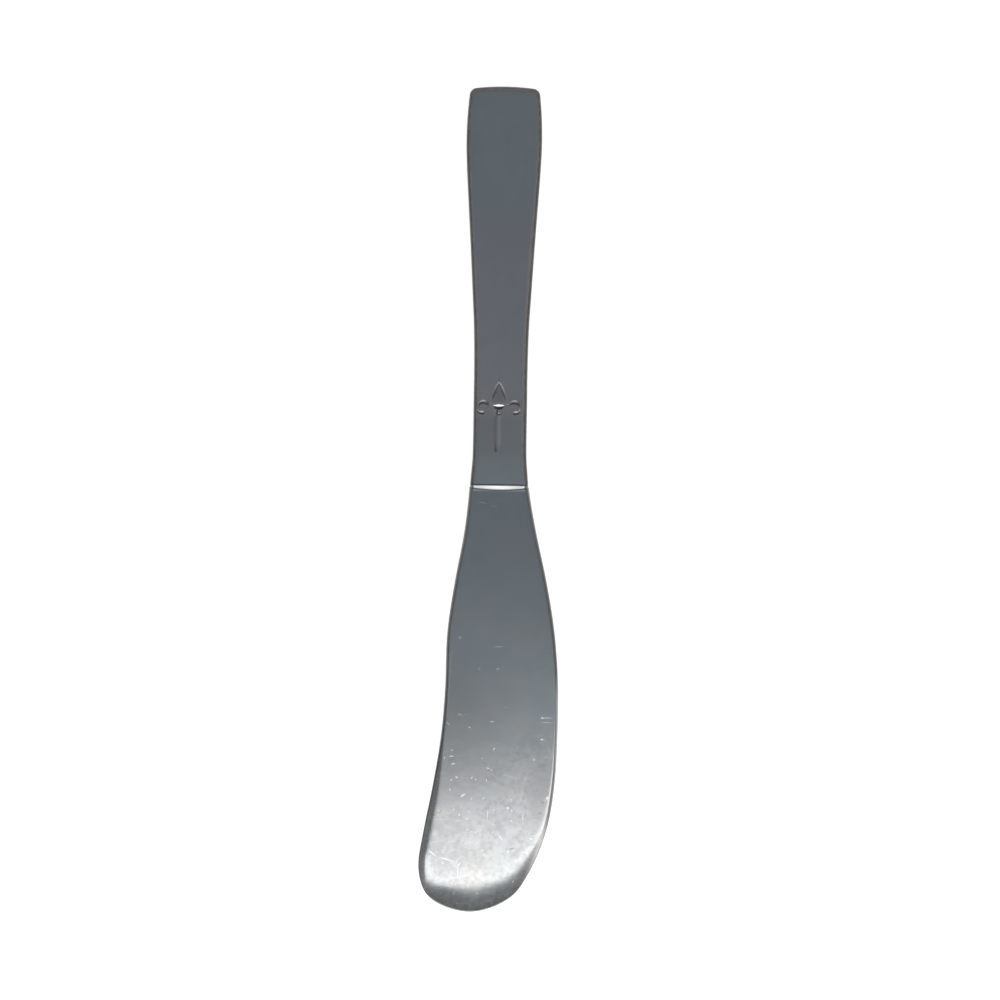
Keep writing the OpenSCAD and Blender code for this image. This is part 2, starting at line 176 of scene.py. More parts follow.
class KnifeFinish(bpy.types.PropertyGroup):
    """Colours and polish of the steel and of the hidden joining."""

    steel: tint("Steel", "Colour of the clean steel", (0.50, 0.505, 0.515))
    cool: tint("Cool drift", "Colour that the steel drifts to in places", (0.486, 0.506, 0.515))
    warm: tint("Warm drift", "Colour that the steel drifts to elsewhere", (0.512, 0.50, 0.494))
    handled: tint("Handled", "Colour of the handle's most handled part", (0.524, 0.493, 0.506))
    # This darkest colour also paints shade into the motif's strokes and a shadow line at the
    # bevel's foot, besides darkening the real pits.
    grime: tint("Grime", "Colour of what lies in grooves and corners", (0.06, 0.058, 0.055))
    # This colour paints shade on the leaning shoulders, where the steel would mirror dark
    # surroundings.
    shoulder: tint("Shoulder", "Colour of the darkened shoulders", (0.082, 0.083, 0.084))
    # This colour marks the worn patches and also paints shade on the blade's spine side.
    smudge: tint("Smudge", "Colour of the worn, smudged patches", (0.40, 0.402, 0.406))
    # This colour marks the real scratches and also paints highlights on the bevel, the belly's
    # rim and the motif's walls.
    bright: tint("Bare scratch", "Colour of a fresh scratch", (0.9, 0.9, 0.9))
    braze: tint("Braze", "Colour of the braze in the seam", (0.72, 0.60, 0.36))
    cement: tint("Cement", "Colour of the cement round the tang", (0.42, 0.36, 0.30))
    dulling: share("Dulling", "Roughness that marks and grime add", 0.12)
    handle_rough: share("Handle roughness", "Roughness of the handle's polish", 0.235)
    blade_rough: share("Blade roughness", "Roughness of the blade's polish", 0.155)


class KnifeStudio(bpy.types.PropertyGroup):
    """Camera, lamps and floor."""

    distance: length("Camera distance", "From the knife's face to the camera", 700)
    view_width: length("View width", "Width that the picture shows at the knife", 198.7)
    centre_x: length("Centre across", "Place of the picture's middle along X", 0.22, -200)
    centre_y: length("Centre along", "Place of the picture's middle along Y", -42.7, -200)
    lean: FloatProperty(
        name="Lean", description="How far the picture is turned against the knife",
        default=math.radians(0.87), subtype="ANGLE", unit="ROTATION",
    )
    overhead: tint("Overhead", "Grey of the studio above the knife", (0.184, 0.217, 0.245))
    glow: tint("Ceiling glow", "Grey of the ceiling next to the strip lamp", (0.343, 0.38, 0.413))
    left_wall: tint("Left wall", "Grey of the wall on the spine's side", (0.33, 0.327, 0.32))
    right_wall: tint("Right wall", "Grey of the wall on the belly's side", (0.5, 0.495, 0.485))
    corner_glow: share("Corner glow", "Brightness added where that wall nears the tip", 0.25)
    walls: tint("Walls", "Grey of the studio's walls", (0.205, 0.198, 0.188))
    skirting: tint("Skirting", "Grey of the walls low down", (0.385, 0.38, 0.37))
    horizon: tint("Horizon", "White of the backdrop", (1, 1, 1))
    strip_glow: share("Strip glow", "Brightness of the overhead strip lamp", 1.66)
    band_glow: share("Band glow", "Brightness added to the far part of the strip", 0.11)
    front_glow: share("Front glow", "Brightness of the low lamp in front of the tip", 1.27)
    fill_glow: share("Fill glow", "Brightness of the soft fill lamp", 1.6)


# ---------------------------------------------------------------- curves and helpers


def lerp(a, b, s):
    """Value at a share of the way from a to b."""
    return a + (b - a) * s


def knot_gap(a, b):
    """Spacing of two knots on the curve's own scale."""
    return math.sqrt(math.dist(a, b))


def blend_points(a, b, s):
    """Point at a share of the way from a to b."""
    return tuple(lerp(p, q, s) for p, q in zip(a, b))


def spline_point(a, b, c, d, s):
    """Point between b and c on a smooth curve through a, b, c and d."""
    t1 = knot_gap(a, b)
    t2 = t1 + knot_gap(b, c)
    t3 = t2 + knot_gap(c, d)
    t = lerp(t1, t2, s)
    ab = blend_points(a, b, t / t1)
    bc = blend_points(b, c, (t - t1) / (t2 - t1))
    cd = blend_points(c, d, (t - t2) / (t3 - t2))
    abc = blend_points(ab, bc, t / t2)
    bcd = blend_points(bc, cd, (t - t1) / (t3 - t1))
    return blend_points(abc, bcd, (t - t1) / (t2 - t1))


def smooth_line(knots, steps):
    """Points on a smooth curve through the knots, with the given steps in each span."""
    before = blend_points(knots[1], knots[0], 2)
    after = blend_points(knots[-2], knots[-1], 2)
    line = [before, *knots, after]
    points = [
        spline_point(*line[i : i + 4], s / steps)
        for i in range(len(knots) - 1)
        for s in range(steps)
    ]
    return points + [tuple(knots[-1])]


def deselect_all():
    """Leaves object mode with nothing selected."""
    if bpy.context.object and bpy.context.object.mode != "OBJECT":
        leave_edit()
    bpy.ops.object.select_all(action="DESELECT")


def take_up(obj):
    """Makes an object the only selected and active one."""
    deselect_all()
    obj.select_set(True)
    bpy.context.view_layer.objects.active = obj


def place_points(obj, places):
    """Moves each point of a mesh to its place."""
    for vertex, place in zip(obj.data.vertices, places, strict=True):
        vertex.co = place
    obj.data.update()


def edit_all():
    """Enters edit mode with the whole mesh selected."""
    bpy.ops.object.mode_set(mode="EDIT")
    bpy.ops.mesh.select_all(action="SELECT")


def face_outwards():
    """In edit mode, selects the whole mesh and turns its faces outwards."""
    bpy.ops.mesh.select_all(action="SELECT")
    bpy.ops.mesh.normals_make_consistent(inside=False)


def leave_edit():
    """Goes back to object mode."""
    bpy.ops.object.mode_set(mode="OBJECT")


def select_in_edit(obj, edges=None, faces=None):
    """Selects, in edit mode, only the edges or faces that pass a test."""
    bpy.ops.mesh.select_all(action="DESELECT")
    mesh = bmesh.from_edit_mesh(obj.data)
    bpy.ops.mesh.select_mode(type="EDGE" if edges else "FACE")
    for part in mesh.edges if edges else mesh.faces:
        if (edges or faces)(part):
            part.select_set(True)
    mesh.select_flush_mode()
    bmesh.update_edit_mesh(obj.data)


def apply_modifier(obj, kind, **settings):
    """Adds a modifier, sets it and applies it."""
    take_up(obj)
    modifier = obj.modifiers.new(kind.title(), kind)
    for name, value in settings.items():
        setattr(modifier, name, value)
    bpy.ops.object.modifier_apply(modifier=modifier.name)


def settle(obj, node_name, material):
    """Smooths a finished piece, gives it its material and puts it in the CAD node's place."""
    take_up(obj)
    bpy.ops.object.shade_smooth_by_angle(angle=SMOOTH_ANGLE)
    apply_modifier(obj, "WEIGHTED_NORMAL", keep_sharp=True, weight=60)
    obj.data.materials.clear()
    obj.data.materials.append(material)
    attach(obj, BODY)
    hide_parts(node_name)


# ---------------------------------------------------------------- handle


def handle_side(handle, steps=6):
    """Right-hand side of the handle in plan, from its mouth to the middle of its butt."""
    side_lean = math.radians(6)
    end_steps = 12
    neck_x = handle.neck_width / 2
    swell = (handle.butt_width - handle.neck_width) / 2
    r, bow = handle.corner, handle.bow
    corner_x = neck_x + swell * SWELL_SHARES[-1][1] - r * math.cos(side_lean)
    tilt = math.asin(corner_x / (bow - r))
    corner_y = handle.long - bow + (bow - r) * math.cos(tilt)
    side_long = corner_y + r * math.sin(side_lean)
    widening = (handle.mouth_width - handle.neck_width) / 2
    knots = [(neck_x + w * widening, y * handle.flare) for y, w in FLARE_SHARES]
    knots += [(neck_x + w * swell, y * side_long) for y, w in SWELL_SHARES]
    side = smooth_line(knots, steps)
    for i in range(1, end_steps + 1):
        a = lerp(side_lean, math.pi / 2 - tilt, i / end_steps)
        side.append((corner_x + r * math.cos(a), corner_y + r * math.sin(a)))
    for i in range(1, end_steps + 1):
        a = tilt * (1 - i / end_steps)
        side.append((bow * math.sin(a), handle.long - bow * (1 - math.cos(a))))
    return side


def mouth_y(handle):
    """Place of the handle's mouth along Y."""
    return -handle.long / 2


def press_skin(handle):
    """Presses the outer skin of the upper half shell, open at its seam and its mouth."""
    side = handle_side(handle)
    outline = side + [(-x, y) for x, y in reversed(side[:-1])]
    seam, mouth = handle.thick / 2, mouth_y(handle)
    bpy.ops.mesh.primitive_circle_add(
        vertices=len(outline), radius=handle.butt_width / 2, fill_type="NOTHING"
    )
    skin = bpy.context.object
    place_points(skin, [(x, y + mouth, seam) for x, y in outline])
    edit_all()
    bpy.ops.mesh.extrude_edges_move(TRANSFORM_OT_translate={"value": (0, 0, seam)})
    bpy.ops.mesh.edge_face_add()
    select_in_edit(skin, faces=lambda f: f.calc_center_median().y < mouth + NEAR)
    bpy.ops.mesh.delete(type="ONLY_FACE")
    face_outwards()
    select_in_edit(
        skin,
        edges=lambda e: all(v.co.z > seam + NEAR for v in e.verts)
        and max(v.co.y for v in e.verts) > mouth + NEAR,
    )
    bpy.ops.mesh.bevel(
        offset=handle.edge, segments=handle.edge_steps, profile=0.5, affect="EDGES"
    )
    leave_edit()
    return skin


def lay_grid(rows, name):
    """Adds a grid primitive with a point for each place in the rows and lays it on them."""
    deselect_all()
    bpy.ops.mesh.primitive_grid_add(
        x_subdivisions=len(rows[0]) - 1, y_subdivisions=len(rows) - 1, size=MM
    )
    grid = bpy.context.object
    grid.name = name
    place_points(grid, [place for row in rows for place in row])
    return grid


# Rounded foot of a stroke's section: shares of its half width and of its depth
STROKE_FOOT = ((0.4, 0.6), (0.2, 0.75), (0, 0.8), (-0.2, 0.75), (-0.4, 0.6))


def stroke_cutter(path, shares, wide, deep, face_z):
    """Makes a closed cutter for one stroke: a V with a rounded foot that follows a path on
    the face and swells by its shares."""
    lift = 0.4 * MM  # How far the cutter reaches over the face
    last = len(path) - 1
    rows = []
    for i, (x, y) in enumerate(path):
        ahead = Vector(path[min(i + 1, last)]) - Vector(path[max(i - 1, 0)])
        across = Vector((-ahead.y, ahead.x)).normalized()
        half, foot = wide / 2 * shares[i], deep * shares[i]
        brim = half * (1 + lift / foot)
        section = [(brim, lift)]
        section += [(half * out, -foot * down) for out, down in STROKE_FOOT]
        section += [(-brim, lift), (brim, lift)]
        rows.append(
            [(x + across.x * u, y + across.y * u, face_z + v) for u, v in section]
        )
    cutter = lay_grid(rows, "stroke_cutter")
    edit_all()
    bpy.ops.mesh.remove_doubles(threshold=MERGE)
    bpy.ops.mesh.fill_holes(sides=0)
    face_outwards()
    leave_edit()
    return cutter


# Width and depth of each kind of stroke, as shares of the plain stroke's
PETAL_STROKE = (1.9, 0.45)
SCROLL_STROKE = (1.5, 1.2)
POINT_STROKE = (0.5, 0.5)
CRESCENT_STROKE = (2.1, 1.65)
STEM_STROKE = (1, 1.2)
# A petal's foot, as a share of the lancet's length, and how far its side bulges
PETAL_FOOT, PETAL_BULGE = 0.22, 0.36
# Swell left at the ends of a petal and of the crescent
PETAL_END, CRESCENT_END = 0.3, 0.25
# A scroll's root, from the crescent's horn outwards: shares of the horn's reach and rise,
# and the stroke's swell there
SCROLL_ROOT = ((1.15, 0.9, 0.12), (1.4, 0.8, 0.25), (1.65, 0.85, 0.4))
# Angles at a scroll's ends in degrees, and shares of its radius: what is left of it at the
# inner end, and how far its middle lies under the crescent
SCROLL_FROM, SCROLL_TO, SCROLL_LEFT, SCROLL_DROP = 40, 290, 0.65, 0.4
# Swell of a scroll where it runs along and across the handle, how sharply it changes, and
# what is left of it at the inner end
SCROLL_THIN, SCROLL_BOLD, SCROLL_CHANGE, SCROLL_END = 0.45, 1.12, 1.5, 0.75
# The dimple's place down the stem, as a share of its length, and the height of its middle
# over the face, as a share of its radius
DIMPLE_DOWN, DIMPLE_UP = 0.2, 0.35
# The point over the lancet and the stem: shares of their length, and the swell there
POINT_SWELL = ((0, 0.9), (0.5, 0.6), (1, 0.2))
STEM_SWELL = ((0, 0.9), (0.1, 1), (0.5, 1), (0.85, 1), (0.94, 0.95), (1, 0.5))


def petal_path(motif, at, side, steps=12):
    """One side of the lancet, with the stroke's swell."""
    path, swell = [], []
    for i in range(steps + 1):
        s = i / steps
        x = motif.lancet_width / 2 * (1 - s) * (1 + PETAL_BULGE * s)
        path.append((side * x, at + motif.lancet * lerp(PETAL_FOOT, 1, s)))
        swell.append(lerp(PETAL_END, 1, math.sin(math.pi * s)))
    return path, swell


def scroll_path(motif, at, side, steps=30):
    """One scroll with its root, with the stroke's swell."""
    horn, rise = motif.crescent / 2, motif.crescent_rise
    path = [(side * horn * reach, at + rise * lift) for reach, lift, _ in SCROLL_ROOT]
    swell = [root[2] for root in SCROLL_ROOT]
    for i in range(steps + 1):
        s = i / steps
        a = math.radians(lerp(SCROLL_FROM, SCROLL_TO, s))
        r = motif.scroll * lerp(1, SCROLL_LEFT, s)
        path.append((
            side * (motif.scroll_at - r * math.cos(a)),
            at - motif.scroll * SCROLL_DROP + r * math.sin(a),
        ))
        swell.append(lerp(SCROLL_THIN, SCROLL_BOLD, abs(math.sin(a)) ** SCROLL_CHANGE))
    swell[-1] *= SCROLL_END
    return path, swell


def motif_cutters(motif, handle):
    """Makes the cutters of the small motif: a lancet over a crescent, a scroll on each
    side and a stem with a dimple at its head."""
    face_z, middle = handle.thick, -motif.aside
    at = mouth_y(handle) + motif.at
    cutters = []

    def stroke(path, swell, kind, wide=motif.wide):
        moved = [(middle + x, y) for x, y in path]
        cutters.append(
            stroke_cutter(moved, swell, wide * kind[0], motif.deep * kind[1], face_z)
        )

    for side in (-1, 1):
        stroke(*petal_path(motif, at, side), PETAL_STROKE)
        stroke(*scroll_path(motif, at, side), SCROLL_STROKE)
    lancet_end = at + motif.lancet
    stroke(
        [(0, lancet_end + motif.point * s) for s, _ in POINT_SWELL],
        [swell for _, swell in POINT_SWELL], POINT_STROKE,
    )
    cup_steps = 12
    cup = [2 * i / cup_steps - 1 for i in range(cup_steps + 1)]
    stroke(
        [(u * motif.crescent / 2, at - motif.sag + motif.crescent_rise * u * u) for u in cup],
        [lerp(CRESCENT_END, 1, math.cos(math.pi / 2 * u)) for u in cup], CRESCENT_STROKE,
    )
    stem_head = at - motif.wide * SCROLL_STROKE[0]
    stroke(
        [(-motif.stem_aside, stem_head - motif.stem * s) for s, _ in STEM_SWELL],
        [swell for _, swell in STEM_SWELL], STEM_STROKE, motif.stem_width,
    )
    deselect_all()
    bpy.ops.mesh.primitive_uv_sphere_add(
        segments=32, ring_count=16, radius=motif.dimple,
        location=(
            middle, at - motif.stem * DIMPLE_DOWN, face_z + motif.dimple * DIMPLE_UP
        ),
    )
    dimple = bpy.context.object
    bpy.ops.object.transform_apply(location=True)
    cutters.append(dimple)
    return cutters


class KNIFE_OT_handle_shells(bpy.types.Operator):
    """Presses the two half shells of the handle, each with the motif in its face"""

    bl_idname = "knife.handle_shells"
    bl_label = "Handle shells"

    def execute(self, context):
        handle, motif = context.scene.knife_handle, context.scene.knife_motif
        front = press_skin(handle)
        front.name = "handle_front"
        apply_modifier(
            front, "SOLIDIFY", thickness=handle.wall, offset=-1, use_even_offset=True,
            use_quality_normals=True,
        )
        for cutter in motif_cutters(motif, handle):
            apply_modifier(
                front, "BOOLEAN", operation="DIFFERENCE", solver="EXACT", object=cutter
            )
            bpy.data.objects.remove(cutter)
        take_up(front)
        bpy.ops.object.duplicate()
        back = context.object
        back.name = "handle_back"
        edit_all()
        bpy.ops.transform.resize(
            value=(1, 1, -1), center_override=(0, 0, handle.thick / 2)
        )
        bpy.ops.mesh.flip_normals()
        leave_edit()
        steel = handle_steel(context.scene)
        settle(front, "front_shell", steel)
        settle(back, "back_shell", steel)
        return {"FINISHED"}


# ---------------------------------------------------------------- blade

RIM_STEPS = (0, 0.2, 0.52, 1)  # Shares of the rim's rounding where it has points
ROLL_STEPS = 5  # Faces across the roll, from the rim's rounding to the flat
FLAT_STEPS = 4  # Faces from the roll to the middle line
LEVEL_SHARE = 0.1  # Share of the blade's length that stays level
DIP_POWER = 2.2  # How late the dip towards the tip sets in
STOP_SHARE = 1.2  # Where the middle line stops short of the tip, in widths of its roll
EASE_SHARE = 0.25  # Share of the middle line over which its places close up at the end


def blade_rim(blade, steps=4):
    """Rim of the blade in plan as (x, distance from the heel, roll share), from the spine's
    side of the heel round the tip to the belly's side."""
    heel, spread = blade.heel_width / 2 / MM, (blade.wide - blade.heel_width) / MM
    long = blade.long / MM
    spine = [(-heel - k[1] * spread, k[0] * long, k[3]) for k in BLADE_SHARES]
    belly = [(heel + k[2] * spread, k[0] * long, k[4]) for k in reversed(BLADE_SHARES)]
    knots = spine + [(-blade.sweep / MM, long, 1)] + belly
    return [(x * MM, along * MM, min(max(roll, 0), 1))
            for x, along, roll in smooth_line(knots, steps)]


def blade_dip(blade, handle, along):
    """How far the blade's middle lies under the seam at a distance from the heel."""
    hang = min(blade.tip_thick - blade.tip_fall - blade.rim, 0)
    dip = handle.thick / 2 - blade.tip_lift - blade.tip_thick / 2 + hang
    s = max(along / blade.long - LEVEL_SHARE, 0) / (1 - LEVEL_SHARE)
    return dip * s**DIP_POWER


def blade_half_row(blade, handle, rim, aim, side):
    """Places on a face from the rim to the middle line: the rim's rounding, the roll, and
    the flat. The upper face has side 1 and the lower face -1."""
    gap = math.dist(rim[:2], aim)
    zone = lerp(blade.side_roll, blade.tip_roll, rim[2])
    bend = blade.rim_round
    inwards = [bend * s for s in RIM_STEPS]
    inwards += [lerp(bend, zone, k / ROLL_STEPS) for k in range(1, ROLL_STEPS + 1)]
    inwards += [lerp(zone, gap, k / FLAT_STEPS) for k in range(1, FLAT_STEPS + 1)]
    heel_y = mouth_y(handle) - blade.collar - blade.bevel
    places = []
    for inward in inwards:
        x, along = blend_points(rim[:2], aim, inward / gap)
        thick = lerp(blade.heel_thick, blade.tip_thick, along / blade.long)
        fall = lerp((thick - blade.rim) / 2, blade.tip_fall, rim[2])
        if side < 0:
            fall = thick - blade.rim - fall
        drop = fall * max(1 - inward / zone, 0) ** 2
        if inward < bend:
            drop += bend - math.sqrt(bend**2 - (bend - inward) ** 2)
        middle = handle.thick / 2 - blade_dip(blade, handle, along)
        places.append((x, heel_y - along, middle + side * (thick / 2 - drop)))
    return places


def bolster_half_row(half_wide, half_thick, edge, y, seam, side):
    """Places on the bolster's upper or lower face, from its side to the middle line."""
    corner_steps = len(RIM_STEPS) - 1 + ROLL_STEPS
    places = []
    for k in range(corner_steps + 1):
        a = math.pi / 2 * k / corner_steps
        x = half_wide - edge * (1 - math.cos(a))
        places.append((x, y, seam + side * (half_thick - edge * (1 - math.sin(a)))))
    for k in range(1, FLAT_STEPS + 1):
        x = lerp(half_wide - edge, 0, k / FLAT_STEPS)
        places.append((x, y, seam + side * half_thick))
    return places


def nose_y(blade, handle, x):
    """Line across the knife where the bolster's bevel meets the blade."""
    share_out = x / (blade.heel_width / 2)
    return mouth_y(handle) - blade.collar - blade.bevel + blade.bevel_bow * share_out**2


def blade_face_rows(blade, handle, side):
    """Rows of places on one face of the forging, from the handle's mouth to the tip."""
    seam, mouth = handle.thick / 2, mouth_y(handle)
    half_wide, half_thick, cut = handle.mouth_width / 2, handle.thick / 2, blade.chamfer
    rows = []
    for y, inset in ((0, cut), (-cut, 0), (-blade.collar, 0)):
        half = bolster_half_row(
            half_wide - inset, half_thick - inset, handle.edge - inset, mouth + y, seam, side
        )
        rows.append([(-x, y, z) for x, y, z in half[:-1]] + half[::-1])
    rim = blade_rim(blade)
    last = len(rim) - 1
    reach = blade.long - STOP_SHARE * blade.tip_roll
    for i in range(last // 2 + 1):
        spine, belly = rim[i], rim[last - i]
        middle_x, along = (spine[0] + belly[0]) / 2, (spine[1] + belly[1]) / 2
        to_go = 1 + EASE_SHARE - along / reach
        if to_go < 2 * EASE_SHARE:
            along = reach * (1 - to_go**2 / (4 * EASE_SHARE))
        halves = [
            blade_half_row(blade, handle, end, (middle_x, along), side)
            for end in (spine, belly)
        ]
        row = halves[0][:-1] + halves[1][::-1]
        if i == 0:
            row = [(x, nose_y(blade, handle, x), z) for x, y, z in row]
        rows.append(row)
    return rows


def forge_blade(blade, handle):
    """Forges the blade and its bolster as one closed skin, open at the handle's mouth."""
    mouth = mouth_y(handle)
    upper = lay_grid(blade_face_rows(blade, handle, 1), "blade_forging")
    lay_grid(blade_face_rows(blade, handle, -1), "blade_lower_face")
    upper.select_set(True)  # The lower face is still selected, and joins the upper one
    bpy.context.view_layer.objects.active = upper
    bpy.ops.object.join()
    edit_all()
    bpy.ops.mesh.remove_doubles(threshold=MERGE)
    select_in_edit(
        upper,
        edges=lambda e: e.is_boundary and min(v.co.y for v in e.verts) < mouth - NEAR,
    )
    bpy.ops.mesh.bridge_edge_loops()
    face_outwards()

    def on_crease(edge, line):
        return all(abs(v.co.y - line(v.co.x)) < NEAR for v in edge.verts)

    lines = (
        lambda x: mouth,
        lambda x: mouth - blade.chamfer,
        lambda x: mouth - blade.collar,
        lambda x: nose_y(blade, handle, x),
    )
    select_in_edit(upper, edges=lambda e: any(on_crease(e, line) for line in lines))
    bpy.ops.transform.edge_crease(value=1)
    leave_edit()
    apply_modifier(upper, "SUBSURF", levels=2, render_levels=2)
    return upper


def draw_tang(forging, blade, handle):
    """Draws the spigot and the notched tang out of the bolster's face in the mouth."""
    mouth, seam = mouth_y(handle), handle.thick / 2

    def scale(across, through=1):
        bpy.ops.transform.resize(
            value=(across, 1, through), center_override=(0, mouth, seam)
        )

    def draw_out(distance):
        bpy.ops.mesh.extrude_region_move(
            TRANSFORM_OT_translate={"value": (0, distance, 0)}
        )

    def squeeze(across, through=1):
        draw_out(0)
        scale(across, through)

    take_up(forging)
    edit_all()
    select_in_edit(
        forging, edges=lambda e: all(abs(v.co.y - mouth) < NEAR for v in e.verts)
    )
    bpy.ops.mesh.edge_face_add()
    inset = handle.wall + blade.joint_gap
    bpy.ops.mesh.inset(thickness=inset - blade.chamfer)
    draw_out(blade.spigot)
    wide, thick = handle.mouth_width - 2 * inset, handle.thick - 2 * inset
    squeeze(blade.tang_width / wide, blade.tang_thick / thick)
    long = blade.tang - blade.spigot
    pitch = long / (blade.notches + 1)
    done, wide = 0, blade.tang_width
    for i in range(1, blade.notches + 1):
        start = i * pitch - blade.notch_long / 2
        draw_out(start - done)
        next_wide = lerp(blade.tang_width, blade.tang_end, (start + blade.notch_long) / long)
        scale(next_wide / wide)
        waist = (next_wide - 2 * blade.notch_deep) / next_wide
        squeeze(waist)
        draw_out(blade.notch_long)
        squeeze(1 / waist)
        done, wide = start + blade.notch_long, next_wide
    draw_out(long - done)
    scale(blade.tang_end / wide)
    bpy.ops.mesh.select_all(action="SELECT")
    bpy.ops.mesh.remove_doubles(threshold=MERGE / 10)
    face_outwards()
    leave_edit()


class KNIFE_OT_blade(bpy.types.Operator):
    """Forges the blade with its bolster, spigot and tang"""

    bl_idname = "knife.blade"
    bl_label = "Blade"

    def execute(self, context):
        blade, handle = context.scene.knife_blade, context.scene.knife_handle
        forging = forge_blade(blade, handle)
        draw_tang(forging, blade, handle)
        settle(forging, "blade", blade_steel(context.scene))
        return {"FINISHED"}


# ---------------------------------------------------------------- finishes

VECTOR, FLOAT, COLOUR = "NodeSocketVector", "NodeSocketFloat", "NodeSocketColor"


class Wire:
    """What a node puts out: a mask or number for each point, a vector or a colour. Sums with
    masks and numbers add Math nodes. | takes the stronger of two masks, and ~ gives what a
    mask leaves out."""

    def __init__(self, tree, socket):
        self.tree, self.socket = tree, socket

    def maths(self, operation, *others, last=False):
        """Adds a Math node for this wire and the others. This wire comes first or last."""
        inputs = dict(enumerate((*others, self) if last else (self, *others)))
        return add_node(self.tree, "ShaderNodeMath", inputs, operation=operation)[0]

    __add__ = partialmethod(maths, "ADD")
    __sub__ = partialmethod(maths, "SUBTRACT")
    __rsub__ = partialmethod(maths, "SUBTRACT", last=True)
    __mul__ = partialmethod(maths, "MULTIPLY")
    __truediv__ = partialmethod(maths, "DIVIDE")
    __rtruediv__ = partialmethod(maths, "DIVIDE", last=True)
    __or__ = partialmethod(maths, "MAXIMUM")
    __lt__ = partialmethod(maths, "LESS_THAN")
    __gt__ = partialmethod(maths, "GREATER_THAN")
    __abs__ = partialmethod(maths, "ABSOLUTE")

    def __invert__(self):
        return 1 - self

    def ramp(self, low, high, to_low=0.0, to_high=1.0):
        """Maps it smoothly from one range to another and clamps it."""
        return add_node(
            self.tree, "ShaderNodeMapRange",
            {"Value": self, "From Min": low, "From Max": high, "To Min": to_low,
             "To Max": to_high},
            interpolation_type="SMOOTHSTEP",
        )["Result"]


def feed(made, inputs):
    """Gives a node's sockets their values or wires."""
    for key, value in inputs.items():
        if isinstance(value, Wire):
            value.tree.links.new(value.socket, made.inputs[key])
        else:
            made.inputs[key].default_value = value


def add_node(tree, kind, inputs=None, **settings):
    """Adds a node, sets its properties and feeds it. Returns its outputs, each under its
    number and its name."""
    made = tree.nodes.new(kind)
    for name, value in settings.items():
        setattr(made, name, value)
    feed(made, inputs or {})
    outputs = {}
    for number, socket in enumerate(made.outputs):
        outputs[number] = outputs[socket.name] = Wire(tree, socket)
    return outputs


def vector_maths(operation, place, *vectors, output=0):
    """Adds a Vector Math node and returns its output."""
    inputs = dict(enumerate((place, *vectors)))
    return add_node(place.tree, "ShaderNodeVectorMath", inputs, operation=operation)[output]


def split(vector):
    """The three parts of a vector."""
    parts = add_node(vector.tree, "ShaderNodeSeparateXYZ", {0: vector})
    return parts[0], parts[1], parts[2]


def turn_flat(vector, angle):
    """Turns a vector about the Z axis."""
    return add_node(
        vector.tree, "ShaderNodeVectorRotate", {"Vector": vector, "Angle": angle},
        rotation_type="Z_AXIS",
    )[0]


def noise(vector, scale, detail=2.0, roughness=0.5):
    """Adds a noise texture and returns its value."""
    return add_node(
        vector.tree, "ShaderNodeTexNoise",
        {"Vector": vector, "Scale": scale, "Detail": detail, "Roughness": roughness},
    )[0]


def mix_colours(mask, *colours):
    """The first colour where the mask is 0 and the second where it is 1. Each is a wire, or
    its red, green and blue."""
    a, b = (c if isinstance(c, Wire) else (*c, 1) for c in colours)
    return add_node(mask.tree, "ShaderNodeMix", {0: mask, 6: a, 7: b}, data_type="RGBA")[2]


def effect(wiring):
    """Makes a node group, which several materials can use, of the function that wires it.
    The function's arguments are the inputs, and it returns the outputs. The first use builds
    the group."""

    def label(name):
        return name.replace("_", " ").capitalize()

    def build():
        group = bpy.data.node_groups.new(wiring.__name__, "ShaderNodeTree")
        for name, kind in wiring.__annotations__.items():
            group.interface.new_socket(name=label(name), in_out="INPUT", socket_type=kind)
        start = add_node(group, "NodeGroupInput")
        outputs = wiring(*[start[label(name)] for name in wiring.__annotations__])
        for name, wire in outputs.items():
            kind = COLOUR if wire.socket.type == "RGBA" else FLOAT
            group.interface.new_socket(name=name, in_out="OUTPUT", socket_type=kind)
        feed(group.nodes.new("NodeGroupOutput"), outputs)
        return group

    def use(place, **values):
        group = bpy.data.node_groups.get(wiring.__name__) or build()
        inputs = {label(name): value for name, value in values.items()}
        return add_node(
            place.tree, "ShaderNodeGroup", {"Place": place, **inputs}, node_tree=group
        )

    return use


@effect
def tone_drift(place: VECTOR, clean: COLOUR, cool: COLOUR, warm: COLOUR):
    """Steel's colour as it drifts between a cooler and a warmer grey. Places are in mm."""
    to_cool = noise(place, 0.09, 3).ramp(0.42, 0.62)
    to_warm = noise(vector_maths("ADD", place, (31, 17, 5)), 0.13, 3).ramp(0.5, 0.7)
    return {"Colour": mix_colours(to_warm, mix_colours(to_cool, clean, cool), warm)}


@effect
def satin_polish(
    place: VECTOR, line_stretch: VECTOR, line_depth: FLOAT, patch_size: FLOAT,
    patch_depth: FLOAT,
):
    """Fine polishing lines and softer patches. Places and heights are in mm."""
    lines = noise(vector_maths("MULTIPLY", place, line_stretch), 1.0, 3, 0.6)
    patches = noise(place, 1 / patch_size)
    return {
        "Height": lines * line_depth + patches * patch_depth,
        "Haze": lines * 0.5 + patches * 0.5,
    }


@effect
def worn_smudges(place: VECTOR, broad_size: FLOAT, small_size: FLOAT):
    """Mask of worn, smudged patches: broad clouds broken up by small ones. All in mm."""
    broad, small = [noise(place, 1 / size, 3, 0.6) for size in (broad_size, small_size)]
    return {"Mask": (broad * 0.6 + small * 0.4).ramp(0.36, 0.64)}


